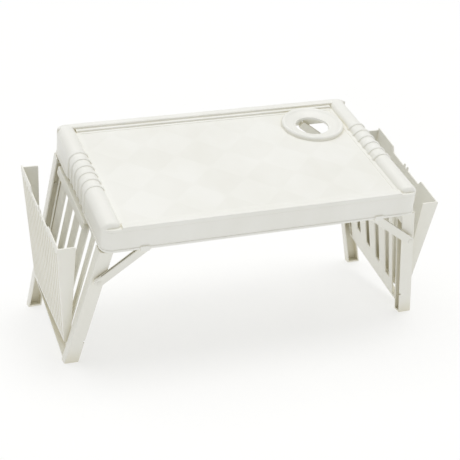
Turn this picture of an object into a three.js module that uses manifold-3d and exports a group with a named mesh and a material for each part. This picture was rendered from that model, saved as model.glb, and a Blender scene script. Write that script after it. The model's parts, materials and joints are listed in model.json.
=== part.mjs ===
// A folding tray table: a moulded tray with rolled side rails and a cup ring, carried by two slatted
// leg frames that swing in under it. Each frame has two braces and a magazine pocket hung on its outside.
//
// Millimetres and degrees. +X is the user's right, +Y is away from the user, +Z is up.
// The tray is drawn level, with the top of its front rim at z = 0, and the whole table is then
// tilted by the slope that the longer back posts give it and lifted until its feet stand on z = 0.
import * as THREE from 'three';
import { mergeVertices } from 'three/addons/utils/BufferGeometryUtils.js';
import Module from 'manifold-3d';

const wasm = await Module();
wasm.setup();

// ---- driving dimensions -------------------------------------------------------------------------
const TRAY_WIDTH = 560;
const TRAY_DEPTH = 336;
const SKIRT_HEIGHT = 46;
const WALL = 2.6;
const CORNER_RADIUS = 18;
const SLOPE = 13; // the tray falls towards the user by this angle
const SPLAY = 11; // each leg frame leans outward by this angle
const POST_LEAN = 6.4; // the posts of one frame lean towards each other going down
const FRONT_LEG = 249; // length of the front post below the skirt
const GAP = 0.35; // air between neighbouring pieces

const PLATE_TOP = -4;
const PLATE_THICK = 3;
const FRONT_RIM_WIDTH = 13;
const BACK_RIM_WIDTH = 14;
const BACK_STEP_WIDTH = 6;
const BACK_RIM_TOP = 4;
const BEAD_OUT = 1.4; // the bead along the lower edge of the skirt
const BEAD_HEIGHT = 4.5;
const RIB_THICK = 2; // stiffening ribs under the plate
const RIB_DEPTH = 6;

const RAIL_RADIUS = 17;
const RAIL_WALL = 2.6;
const RAIL_AXIS_X = TRAY_WIDTH / 2 - RAIL_RADIUS;
const RAIL_AXIS_Z = -10;
const RAIL_FRONT = -163;
const RAIL_BACK = 165;
const RAIL_END_BEVEL = 4;
const RAIL_FOOT = -26;
const CORNER_STEP_X = 247; // the front rim steps down in front of each rail
const CORNER_STEP_TOP = -3;
const GRIP_HALF_LENGTH = 66; // an arch cut into the lower edge of each side skirt
const GRIP_HEIGHT = 8;
const RIDGE_COUNT = 6;
const RIDGE_PITCH = 22;
const RIDGE_WIDTH = 7;
const RIDGE_HEIGHT = 2.3;
const RIDGE_CENTRE_Y = 8;

const CUP_X = 186;
const CUP_Y = 91;
const CUP_OUTER_RADIUS = 58;
const CUP_HOLE_RADIUS = 31;
const CUP_TOP = 3.6;

const HINGE_X = TRAY_WIDTH / 2 - 14;
const HINGE_Z = -34;
const HINGE_PIN_RADIUS = 2.5;
const LUG_RADIUS = 8;
const EAR_FROM = 141;
const EAR_TO = 146;
const LUG_THICK = 5.8;
const LUG_GAP = 0.8;
const HINGE_PIN_FROM = 133;
const HINGE_PIN_TO = 154;
const CATCH_WIDTH = 16; // a catch on the skirt holds the upper end of each brace
const CATCH_OUT = 2.9;
const CATCH_SHIFT = 12.5; // its middle is this far outboard of the brace's tip

// Leg frame, in its own space: origin on the hinge axis, x outward, z up the post.
const FRAME_OUTER = 14;
const FRAME_INNER = -10;
const FRAME_TOP = -16.2;
const POST_OUTER_K = 160.5; // k counts along the frame at its top edge, and shrinks going down
const POST_INNER_K = 138.5;
const PANEL_OUTER = 3;
const PANEL_INNER = 0;
const PANEL_FOOT_FRONT = 247; // distance down the frame to the panel's lower edge, at each post
const PANEL_FOOT_BACK = 238.5;
const TOP_BAR = 20;
const LEDGE_DROP = 6; // a ledge on the outside of the panel, just under the skirt
const LEDGE_FRONT_K = -62;
const SOLE = 3; // thickness of the plate that closes each foot
const FLANGE_SLOT_FRONT_K = -98.5; // openings beside the posts take the flanges of the closed pocket
const FLANGE_SLOT_BACK_K = 122.5;
const FLANGE_SLOT_TOP = 5;
const SLOT_WIDTH = 20;
const SLOT_PITCH = 50;
const SLOT_COUNT = 4;
const SLOT_MIDDLE_K = 3;
const SLOT_TOP = 16;
const SLOT_FOOT_FRONT = 217;
const SLOT_FOOT_BACK = 189;
const POST_RUN = 420; // posts are drawn this long, then cut off at the floor
const NOTCH_DROP = 197; // a notch in the front post holds the stowed brace
const NOTCH_HEIGHT = 5;
const NOTCH_DEPTH = 3;

const BRACE_PIVOT_X = 2;
const BRACE_PIVOT_DROP = 58;
const BRACE_LENGTH = 108;
const BRACE_WIDTH = 14.5;
const BRACE_RISE = 37.5; // angle above the tray's own level
const BRACE_NEAR = 157.8; // the brace lies between the post and the skirt
const BRACE_FAR = 164.3;
const BRACE_WALL = 1.9;
const STUD_BACK = 14; // a low round stud near the brace's upper end
const STUD_RADIUS = 3;
const STUD_HEIGHT = 0.7;
const RIVET_RADIUS = 2.2;
const RIVET_HEAD_RADIUS = 4;
const RIVET_HEAD_RIM = 0.2;
const RIVET_HEAD_HEIGHT = 0.7;
const BOSS_RADIUS = 6;
const BOSS_DEPTH = 6;

const POCKET_OPEN = 16; // the pocket stands open by this angle at rest
const POCKET_K = 132;
const POCKET_THICK = 2.5;
const POCKET_AXIS_X = 9;
const POCKET_DROP_FRONT = 212; // the pocket's hinge line runs lower at the back
const POCKET_DROP_BACK = 228;
const POCKET_PIN_RADIUS = 2.2;
const POCKET_RIBS = 16;
const POCKET_TOP_FRONT = 8; // the pocket's upper edge, a little lower at the front
const POCKET_TOP_BACK = 2;
const POCKET_DIP = 10; // the middle of that edge is lower, with two small nubs
const POCKET_DIP_HALF = 56;
const POCKET_FOOT = 4.5;
const FLANGE_TOP = 8; // the side flanges start this far below the frame's top edge
const KNUCKLE_RADIUS = 4.4;
const KNUCKLE_LENGTH = 7;
const PIN_WEB_HALF = 9;

const radians = THREE.MathUtils.degToRad;
const lean = Math.tan(radians(POST_LEAN));

// ---- materials ----------------------------------------------------------------------------------
function plastic(colour, roughness) {
  return new THREE.MeshStandardMaterial({ color: colour, roughness, metalness: 0 });
}

const ivory = plastic('#ecebe1', 0.38);
const ivoryFrame = plastic('#e9e8dd', 0.42);
const nylon = plastic('#e4e2d6', 0.5);

// ---- solid helpers ------------------------------------------------------------------------------
function solid(geometry) {
  geometry.deleteAttribute('normal');
  geometry.deleteAttribute('uv');
  const welded = mergeVertices(geometry, 1e-4);
  const mesh = new wasm.Mesh({
    numProp: 3,
    vertProperties: new Float32Array(welded.attributes.position.array),
    triVerts: new Uint32Array(welded.index.array),
  });
  return new wasm.Manifold(mesh);
}

function union(list) {
  return list.reduce((sum, next) => sum.add(next));
}

function minus(body, cutters) {
  return cutters.reduce((rest, cutter) => rest.subtract(cutter), body);
}

function outline(points) {
  return new THREE.Shape(points.map(([a, b]) => new THREE.Vector2(a, b)));
}

// Points along an arc, from one angle to another in degrees.
function arc(cx, cy, radius, from, to, steps = 12) {
  const points = [];
  for (let i = 0; i <= steps; i += 1) {
    const angle = radians(from + ((to - from) * i) / steps);
    points.push([cx + radius * Math.cos(angle), cy + radius * Math.sin(angle)]);
  }
  return points;
}

function extrude(shape, depth, bevel) {
  const options = { depth, bevelEnabled: false, curveSegments: 12, steps: 1 };
  if (bevel) {
    options.bevelEnabled = true;
    options.bevelThickness = bevel;
    options.bevelSize = bevel;
    options.bevelOffset = -bevel;
    options.bevelSegments = 2;
    options.depth = depth - 2 * bevel;
  }
  const geometry = new THREE.ExtrudeGeometry(shape, options);
  if (bevel) {
    geometry.translate(0, 0, bevel);
  }
  return geometry;
}

// A shape drawn in (x, y), raised from z = low to z = high.
function alongZ(shape, low, high) {
  return solid(extrude(shape, high - low).translate(0, 0, low));
}

// A shape drawn in (y, z), run from one x to another.
function alongX(shape, one, other) {
  const low = Math.min(one, other);
  const place = new THREE.Matrix4().set(0, 0, 1, low, 1, 0, 0, 0, 0, 1, 0, 0, 0, 0, 0, 1);
  return solid(extrude(shape, Math.abs(other - one)).applyMatrix4(place));
}

// A shape drawn in (x, z), run from one y to another.
function alongY(shape, one, other, bevel) {
  const high = Math.max(one, other);
  const place = new THREE.Matrix4().set(1, 0, 0, 0, 0, 0, -1, high, 0, 1, 0, 0, 0, 0, 0, 1);
  return solid(extrude(shape, Math.abs(other - one), bevel).applyMatrix4(place));
}

function box(x0, x1, y0, y1, z0, z1) {
  const geometry = new THREE.BoxGeometry(Math.abs(x1 - x0), Math.abs(y1 - y0), Math.abs(z1 - z0));
  return solid(geometry.translate((x0 + x1) / 2, (y0 + y1) / 2, (z0 + z1) / 2));
}

// A round bar from one point to another.
function bar(from, to, radius, segments = 24) {
  const run = new THREE.Vector3().subVectors(to, from);
  const geometry = new THREE.CylinderGeometry(radius, radius, run.length(), segments);
  const turn = new THREE.Quaternion().setFromUnitVectors(new THREE.Vector3(0, 1, 0), run.clone().normalize());
  const middle = new THREE.Vector3().addVectors(from, to).multiplyScalar(0.5);
  geometry.applyQuaternion(turn).translate(middle.x, middle.y, middle.z);
  return solid(geometry);
}

function roundedRectangle(width, depth, radius) {
  const x = width / 2 - radius;
  const y = depth / 2 - radius;
  return outline([
    ...arc(x, -y, radius, -90, 0, 8), ...arc(x, y, radius, 0, 90, 8),
    ...arc(-x, y, radius, 90, 180, 8), ...arc(-x, -y, radius, 180, 270, 8),
  ]);
}

function meshOf(name, body, material) {
  const made = body.getMesh();
  const geometry = new THREE.BufferGeometry();
  geometry.setAttribute('position', new THREE.BufferAttribute(new Float32Array(made.vertProperties), 3));
  geometry.setIndex(new THREE.BufferAttribute(new Uint32Array(made.triVerts), 1));
  geometry.computeVertexNormals();
  const mesh = new THREE.Mesh(geometry, material);
  mesh.name = name;
  return mesh;
}

// ---- tray ---------------------------------------------------------------------------------------
function skirtRing(outset, low, high, thickness) {
  const width = TRAY_WIDTH + 2 * outset;
  const depth = TRAY_DEPTH + 2 * outset;
  const ring = roundedRectangle(width, depth, CORNER_RADIUS + outset);
  const inside = 2 * thickness;
  ring.holes.push(roundedRectangle(width - inside, depth - inside, CORNER_RADIUS + outset - thickness));
  return alongZ(ring, low, high);
}

function railOutline(radius, side, foot) {
  const x = side * RAIL_AXIS_X;
  return outline([[x - radius, foot], [x + radius, foot], ...arc(x, RAIL_AXIS_Z, radius, 0, 180, 16)]);
}

function railRidges(side) {
  const radius = RAIL_RADIUS + RIDGE_HEIGHT;
  const list = [];
  for (let i = 0; i < RIDGE_COUNT; i += 1) {
    const y = RIDGE_CENTRE_Y + (i - (RIDGE_COUNT - 1) / 2) * RIDGE_PITCH;
    const low = y - RIDGE_WIDTH / 2;
    const high = y + RIDGE_WIDTH / 2;
    list.push(alongY(railOutline(radius, side, RAIL_AXIS_Z - 2), low, high, 1.6));
    const skin = side * (TRAY_WIDTH / 2 - 1);
    const face = side * (TRAY_WIDTH / 2 + RIDGE_HEIGHT);
    list.push(box(skin, face, low, high, -SKIRT_HEIGHT, RAIL_AXIS_Z));
  }
  return list;
}

function cupRing() {
  const r = CUP_OUTER_RADIUS;
  const h = CUP_HOLE_RADIUS;
  const foot = PLATE_TOP - PLATE_THICK;
  const profile = [
    [h - 1, foot],
    [r, foot],
    [r, PLATE_TOP],
    [r - 0.8, CUP_TOP - 2.2],
    [r - 2, CUP_TOP - 0.6],
    [r - 4.2, CUP_TOP],
    [r - 7.5, CUP_TOP - 0.4],
    [r - 10, CUP_TOP - 1.6],
    [h + 6, PLATE_TOP + 1.6],
    [h + 2, PLATE_TOP + 0.2],
    [h, PLATE_TOP - 1.4],
    [h - 1, PLATE_TOP - 1.8],
    [h - 1, foot],
  ];
  const geometry = new THREE.LatheGeometry(profile.map(([a, b]) => new THREE.Vector2(a, b)), 64);
  return solid(geometry.rotateX(Math.PI / 2).translate(CUP_X, CUP_Y, 0));
}

function hingeLug(side, from, to) {
  const x = side * HINGE_X;
  const top = PLATE_TOP - 1;
  const round = arc(x, HINGE_Z, LUG_RADIUS, 180, 360);
  return alongY(outline([[x + LUG_RADIUS, top], [x - LUG_RADIUS, top], ...round]), from, to);
}

function underRibs() {
  const low = PLATE_TOP - PLATE_THICK - RIB_DEPTH;
  const high = PLATE_TOP - 1;
  const half = RIB_THICK / 2;
  const reachX = RAIL_AXIS_X - 12;
  const reachY = TRAY_DEPTH / 2 - 1;
  const list = [];
  for (const x of [-180, -90, 0, 90, 180]) {
    list.push(box(x - half, x + half, -reachY, reachY, low, high));
  }
  for (const y of [-84, 0, 84]) {
    list.push(box(-reachX, reachX, y - half, y + half, low, high));
  }
  return list;
}

function buildTray() {
  const foot = PLATE_TOP - PLATE_THICK;
  const front = -TRAY_DEPTH / 2;
  const back = TRAY_DEPTH / 2;
  const plan = roundedRectangle(TRAY_WIDTH, TRAY_DEPTH, CORNER_RADIUS);
  const body = [
    skirtRing(0, -SKIRT_HEIGHT, PLATE_TOP - 1, WALL),
    alongZ(plan, foot, PLATE_TOP),
  ];
  const rims = [
    box(-CORNER_STEP_X, CORNER_STEP_X, front, front + FRONT_RIM_WIDTH, foot, 0),
    box(-TRAY_WIDTH / 2, TRAY_WIDTH / 2, front, front + FRONT_RIM_WIDTH, foot, CORNER_STEP_TOP),
    box(-TRAY_WIDTH / 2, TRAY_WIDTH / 2, back - BACK_RIM_WIDTH, back, foot, BACK_RIM_TOP),
    box(-TRAY_WIDTH / 2, TRAY_WIDTH / 2, back - BACK_RIM_WIDTH - BACK_STEP_WIDTH, back, foot, 0),
  ];
  for (const side of [-1, 1]) {
    rims.push(alongY(railOutline(RAIL_RADIUS, side, RAIL_FOOT), RAIL_FRONT, RAIL_BACK, RAIL_END_BEVEL));
  }
  const trimmed = union(rims).intersect(alongZ(plan, RAIL_AXIS_Z - 2, 2 * BACK_RIM_TOP + RAIL_RADIUS));
  body.push(trimmed, skirtRing(BEAD_OUT, -SKIRT_HEIGHT, -SKIRT_HEIGHT + BEAD_HEIGHT, BEAD_OUT + WALL));

  for (const side of [-1, 1]) {
    body.push(...railRidges(side));
    for (const end of [-1, 1]) {
      body.push(hingeLug(side, end * (EAR_FROM - LUG_GAP - LUG_THICK), end * (EAR_FROM - LUG_GAP)));
      body.push(hingeLug(side, end * (EAR_TO + LUG_GAP), end * (EAR_TO + LUG_GAP + LUG_THICK)));
      const near = side * (braceTip().x + CATCH_SHIFT - CATCH_WIDTH / 2);
      const far = side * (braceTip().x + CATCH_SHIFT + CATCH_WIDTH / 2);
      const skin = TRAY_DEPTH / 2;
      const catchFoot = -SKIRT_HEIGHT - 3;
      body.push(box(near, far, end * (skin - 1), end * (skin + CATCH_OUT), catchFoot, catchFoot + 9.5));
    }
  }
  body.push(cupRing(), ...underRibs());

  const cutters = [
    bar(new THREE.Vector3(CUP_X, CUP_Y, -30), new THREE.Vector3(CUP_X, CUP_Y, 20), CUP_HOLE_RADIUS, 64),
  ];
  for (const side of [-1, 1]) {
    const hollow = railOutline(RAIL_RADIUS - RAIL_WALL, side, RAIL_FOOT);
    cutters.push(alongY(hollow, RAIL_FRONT + 10, -EAR_TO - LUG_THICK - 2));
    cutters.push(alongY(hollow, -EAR_FROM + LUG_THICK + 2, EAR_FROM - LUG_THICK - 2));
    const grip = arc(0, 0, 1, 0, 345, 23).map(([a, b]) => [
      RIDGE_CENTRE_Y + GRIP_HALF_LENGTH * a,
      -SKIRT_HEIGHT + GRIP_HEIGHT * b,
    ]);
    cutters.push(alongX(outline(grip), side * (TRAY_WIDTH / 2 - 8), side * (TRAY_WIDTH / 2 + 8)));
    for (const end of [-1, 1]) {
      const near = new THREE.Vector3(side * HINGE_X, end * (HINGE_PIN_FROM - 3), HINGE_Z);
      const far = new THREE.Vector3(side * HINGE_X, end * (HINGE_PIN_TO + 4), HINGE_Z);
      cutters.push(bar(near, far, HINGE_PIN_RADIUS + GAP));
    }
  }
  return meshOf('tray', minus(union(body), cutters), ivory);
}

// ---- leg frames ---------------------------------------------------------------------------------
// A point of the frame's face: k along the frame at its top edge, s down the frame.
function framePoint(k, s) {
  return [k * (1 - (lean * s) / POST_OUTER_K), FRAME_TOP - s];
}

function frameQuad(k0, k1, s0, s1) {
  return outline([framePoint(k0, s0), framePoint(k1, s0), framePoint(k1, s1), framePoint(k0, s1)]);
}

// A value that changes evenly along k, from one post to the other.
function slanted(atFront, atBack, k) {
  return atFront + ((atBack - atFront) * (k + POST_INNER_K)) / (2 * POST_INNER_K);
}

// A shape of the frame's face from one drop down to a slanted lower edge, less a margin.
function slantedQuad(k0, k1, top, atFront, atBack, margin = 0) {
  const foot0 = slanted(atFront, atBack, k0) - margin;
  const foot1 = slanted(atFront, atBack, k1) - margin;
  return outline([framePoint(k0, top), framePoint(k1, top), framePoint(k1, foot1), framePoint(k0, foot0)]);
}

function bracePivot() {
  return { x: BRACE_PIVOT_X, z: FRAME_TOP - BRACE_PIVOT_DROP };
}

// Where the brace's upper end lies in the tray's space, on the right side.
function braceTip() {
  const pivot = bracePivot();
  const swing = radians(SPLAY);
  const x = HINGE_X + pivot.x * Math.cos(swing) - pivot.z * Math.sin(swing);
  const z = HINGE_Z + pivot.x * Math.sin(swing) + pivot.z * Math.cos(swing);
  const rise = radians(BRACE_RISE);
  return { x: x - BRACE_LENGTH * Math.cos(rise), z: z + BRACE_LENGTH * Math.sin(rise) };
}

function pocketDrop(k) {
  const middle = (POCKET_DROP_FRONT + POCKET_DROP_BACK) / 2;
  return middle + ((POCKET_DROP_BACK - POCKET_DROP_FRONT) * k) / (2 * POCKET_K);
}

// How far below the frame's top edge the pocket's upper edge runs.
function pocketTop(k) {
  return POCKET_TOP_FRONT + ((POCKET_TOP_BACK - POCKET_TOP_FRONT) * (k + POCKET_K)) / (2 * POCKET_K);
}

function pocketAxisPoint(side, k) {
  const [y, z] = framePoint(k, pocketDrop(k));
  return new THREE.Vector3(side * POCKET_AXIS_X, y, z);
}

// ground is all that lies below the floor, sole is the thin layer just above it.
function buildLegFrame(side, ground, sole) {
  const outer = side * FRAME_OUTER;
  const inner = side * FRAME_INNER;
  const skin = side * WALL;
  const frontK = [-POST_OUTER_K, -POST_INNER_K];
  const backK = [POST_INNER_K, POST_OUTER_K];
  const body = [
    // Front post: a channel open to the inside.
    alongX(frameQuad(...frontK, 0, POST_RUN), outer, outer - skin),
    alongX(frameQuad(frontK[0], frontK[0] + WALL, 0, POST_RUN), outer, inner),
    alongX(frameQuad(frontK[1] - WALL, frontK[1], 0, POST_RUN), outer, inner),
    // Back post: a channel open to the front.
    alongX(frameQuad(...backK, 0, POST_RUN), outer, outer - skin),
    alongX(frameQuad(...backK, 0, POST_RUN), inner, inner + skin),
    alongX(frameQuad(backK[1] - WALL, backK[1], 0, POST_RUN), outer, inner),
    // Top bar: a plate over the whole frame, a flange on the inside and a ledge on the outside.
    alongX(frameQuad(...frontK, 0, WALL), outer, inner),
    alongX(frameQuad(...backK, 0, WALL), outer, inner),
    alongX(frameQuad(frontK[0], backK[1], 0, WALL), side * PANEL_OUTER, inner),
    alongX(frameQuad(frontK[0], backK[1], 0, TOP_BAR), inner, inner + skin),
    alongX(frameQuad(LEDGE_FRONT_K, backK[0] + 1, LEDGE_DROP, LEDGE_DROP + WALL), outer, side * PANEL_INNER),
    alongX(frameQuad(LEDGE_FRONT_K, backK[0] + 1, LEDGE_DROP, TOP_BAR), outer, outer - skin),
    // The slatted panel and the lip along its lower edge.
    alongX(
      slantedQuad(frontK[1] - 1, backK[0] + 1, WALL / 2, PANEL_FOOT_FRONT, PANEL_FOOT_BACK),
      side * PANEL_OUTER, side * PANEL_INNER,
    ),
    alongX(
      slantedQuad(frontK[1] - 1, backK[0] + 1, 0, PANEL_FOOT_FRONT, PANEL_FOOT_BACK),
      outer, side * PANEL_INNER,
    ).subtract(alongX(
      slantedQuad(frontK[1] - 20, backK[0] + 20, -1, PANEL_FOOT_FRONT, PANEL_FOOT_BACK, WALL),
      outer + side, side * (PANEL_INNER - 1),
    )),
    // A web across the back post that carries the pocket's hinge pin.
    alongX(
      frameQuad(backK[0], backK[0] + WALL, POCKET_DROP_BACK - PIN_WEB_HALF, POCKET_DROP_BACK + PIN_WEB_HALF),
      outer, side * PANEL_INNER,
    ),
  ];
  for (const end of [-1, 1]) {
    const earFoot = FRAME_TOP - 2;
    const ear = outline([[-LUG_RADIUS, earFoot], [LUG_RADIUS, earFoot], ...arc(0, 0, LUG_RADIUS, 0, 180)]);
    body.push(alongY(ear, end * EAR_FROM, end * EAR_TO));
    const pivot = bracePivot();
    const from = new THREE.Vector3(side * pivot.x, end * (BRACE_NEAR - GAP), pivot.z);
    const to = new THREE.Vector3(side * pivot.x, end * (BRACE_NEAR - BOSS_DEPTH), pivot.z);
    body.push(bar(from, to, BOSS_RADIUS));
  }
  const solidFrame = union(body);

  const cutters = [];
  for (let i = 0; i < SLOT_COUNT; i += 1) {
    const k = SLOT_MIDDLE_K + (i - (SLOT_COUNT - 1) / 2) * SLOT_PITCH;
    const half = SLOT_WIDTH / 2;
    const slot = slantedQuad(k - half, k + half, SLOT_TOP, SLOT_FOOT_FRONT, SLOT_FOOT_BACK);
    cutters.push(alongX(slot, side * (PANEL_INNER - 2), side * (PANEL_OUTER + 2)));
  }
  for (const end of [-1, 1]) {
    const inboard = end < 0 ? FLANGE_SLOT_FRONT_K : FLANGE_SLOT_BACK_K;
    const slot = slantedQuad(
      inboard, end * POST_INNER_K, FLANGE_SLOT_TOP, PANEL_FOOT_FRONT, PANEL_FOOT_BACK, 2 * WALL,
    );
    cutters.push(alongX(slot, outer + side, inner - side));
    const pinFrom = pocketAxisPoint(side, end * (POST_INNER_K - 6));
    const pinTo = pocketAxisPoint(side, end * (POST_INNER_K + 7));
    cutters.push(bar(pinFrom, pinTo, POCKET_PIN_RADIUS + GAP));
    const pivot = bracePivot();
    const bossFrom = new THREE.Vector3(side * pivot.x, end * (BRACE_NEAR + 1), pivot.z);
    const bossTo = new THREE.Vector3(side * pivot.x, end * (BRACE_NEAR - 2 * BOSS_DEPTH), pivot.z);
    cutters.push(bar(bossFrom, bossTo, RIVET_RADIUS + GAP));
    const earFrom = new THREE.Vector3(0, end * (EAR_FROM - 3), 0);
    const earTo = new THREE.Vector3(0, end * (EAR_TO + 3), 0);
    cutters.push(bar(earFrom, earTo, HINGE_PIN_RADIUS + GAP));
  }
  const notch = frameQuad(
    frontK[0] - 1, frontK[0] + WALL + 1,
    NOTCH_DROP - NOTCH_HEIGHT / 2, NOTCH_DROP + NOTCH_HEIGHT / 2,
  );
  cutters.push(alongX(notch, inner - side, inner + side * NOTCH_DEPTH));
  const posts = [frontK, backK].map((range) => alongX(frameQuad(...range, 0, POST_RUN), outer, inner));
  const soles = union(posts).intersect(sole);
  return minus(solidFrame, cutters).subtract(ground).add(soles);
}

// ---- braces -------------------------------------------------------------------------------------
// A brace in its own space: pivot at the origin, running inboard, open along its upper edge.
function buildBrace(side, end) {
  const r = BRACE_WIDTH / 2;
  const head = BRACE_LENGTH - 18;
  const shape = outline([
    ...arc(0, 0, r, 90, 270), [BRACE_LENGTH - 2, -r], [BRACE_LENGTH, 2 - r],
    [BRACE_LENGTH, r - 1.5], [BRACE_LENGTH - 3, r],
  ].map(([along, up]) => [-side * along, up]));
  const arm = alongY(shape, end * BRACE_NEAR, end * BRACE_FAR);
  const channel = box(
    -side * (r + 3), -side * (head - 2),
    end * (BRACE_NEAR + BRACE_WALL), end * (BRACE_FAR - BRACE_WALL),
    -r + BRACE_WALL, r + 2,
  );
  const studX = -side * (BRACE_LENGTH - STUD_BACK);
  const studFrom = new THREE.Vector3(studX, end * (BRACE_FAR - 1), 0);
  const studTo = new THREE.Vector3(studX, end * (BRACE_FAR + STUD_HEIGHT), 0);
  const boreFrom = new THREE.Vector3(0, end * (BRACE_NEAR - 8), 0);
  const boreTo = new THREE.Vector3(0, end * (BRACE_FAR + 6), 0);
  const body = arm.add(bar(studFrom, studTo, STUD_RADIUS));
  return minus(body, [channel, bar(boreFrom, boreTo, RIVET_RADIUS + GAP)]);
}

function buildRivet(end) {
  const seat = BRACE_FAR + GAP / 2;
  const dome = [[0, seat], [RIVET_HEAD_RADIUS, seat]];
  for (const angle of [20, 40, 60, 80, 90]) {
    const out = angle === 90 ? 0 : RIVET_HEAD_RADIUS * Math.cos(radians(angle));
    const rise = (RIVET_HEAD_HEIGHT - RIVET_HEAD_RIM) * Math.sin(radians(angle));
    dome.push([out, seat + RIVET_HEAD_RIM + rise]);
  }
  const profile = dome.map(([out, along]) => new THREE.Vector2(out, along));
  const head = new THREE.LatheGeometry(profile, 24);
  if (end < 0) {
    head.rotateX(Math.PI);
  }
  const shankFrom = new THREE.Vector3(0, end * (seat + RIVET_HEAD_RIM), 0);
  const shankTo = new THREE.Vector3(0, end * (BRACE_NEAR - 8), 0);
  return solid(head).add(bar(shankFrom, shankTo, RIVET_RADIUS, 16));
}

// ---- pockets ------------------------------------------------------------------------------------
// A pocket in the frame's space, drawn folded flat against the outside of the frame.
function buildPocket(side) {
  const near = FRAME_OUTER + 0.8;
  const far = near + POCKET_THICK;
  const k = POCKET_K;
  const foot = POCKET_FOOT;
  const dip = POCKET_DIP;
  const nub = dip - 6;
  const shoulder = POCKET_DIP_HALF + 6;
  const upperEdge = [
    [-k, 0], [-shoulder, 0], [-POCKET_DIP_HALF, dip], [-9, dip], [-8, nub], [-4, nub], [-3, dip],
    [3, dip], [4, nub], [8, nub], [9, dip], [POCKET_DIP_HALF, dip], [shoulder, 0], [k, 0],
  ];
  const face = outline([
    ...upperEdge.map(([along, below]) => framePoint(along, pocketTop(along) + below)),
    framePoint(k, pocketDrop(k) + foot), framePoint(-k, pocketDrop(-k) + foot),
  ]);
  const body = [alongX(face, side * near, side * far)];
  for (let i = 0; i < POCKET_RIBS; i += 1) {
    const middle = ((i + 0.5) / POCKET_RIBS - 0.5) * 2 * (k - 6);
    const ribTop = pocketTop(middle) + dip + 6;
    const rib = outline([
      framePoint(middle - 1.6, ribTop), framePoint(middle + 1.6, ribTop),
      framePoint(middle + 1.6, pocketDrop(middle) - 4), framePoint(middle - 1.6, pocketDrop(middle) - 4),
    ]);
    body.push(alongX(rib, side * (far - 0.5), side * (far + 1.3)));
  }
  const floor = outline([
    framePoint(-k, pocketDrop(-k) + foot - POCKET_THICK),
    framePoint(k, pocketDrop(k) + foot - POCKET_THICK),
    framePoint(k, pocketDrop(k) + foot), framePoint(-k, pocketDrop(-k) + foot),
  ]);
  body.push(alongX(floor, side * (POCKET_AXIS_X - 3), side * far));
  for (const end of [-1, 1]) {
    const strip = frameQuad(end * (k - POCKET_THICK), end * k, pocketTop(end * k), POST_RUN);
    const slab = alongX(strip, side * -20, side * far);
    const drop = pocketDrop(end * k);
    const flange = [
      [side * (FRAME_INNER - 3), FRAME_TOP - FLANGE_TOP - 1.5], [side * far, FRAME_TOP - FLANGE_TOP + 1.5],
      [side * far, FRAME_TOP - drop - foot], [side * (POCKET_AXIS_X - 3), FRAME_TOP - drop - foot],
    ];
    body.push(slab.intersect(alongY(outline(flange), -TRAY_DEPTH, TRAY_DEPTH)));
    const from = pocketAxisPoint(side, end * (k - KNUCKLE_LENGTH));
    const to = pocketAxisPoint(side, end * k);
    body.push(bar(from, to, KNUCKLE_RADIUS));
  }
  const cutters = [-1, 1].map((end) => {
    const from = pocketAxisPoint(side, end * (k - 12));
    const to = pocketAxisPoint(side, end * (k + 4));
    return bar(from, to, POCKET_PIN_RADIUS + GAP);
  });
  return minus(union(body), cutters);
}

// ---- assembly -----------------------------------------------------------------------------------
// The frame's lowest front corner sets how high the tilted tray stands.
function standingHeight() {
  const [y, z] = framePoint(-POST_OUTER_K, FRONT_LEG);
  const swing = radians(SPLAY);
  const trayZ = HINGE_Z + FRAME_OUTER * Math.sin(swing) + z * Math.cos(swing);
  const tilt = radians(SLOPE);
  return -(y * Math.sin(tilt) + trayZ * Math.cos(tilt));
}

const table = new THREE.Group();
const level = new THREE.Group();
level.rotation.x = radians(SLOPE);
level.position.z = standingHeight();
table.add(level);
level.add(buildTray());

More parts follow.
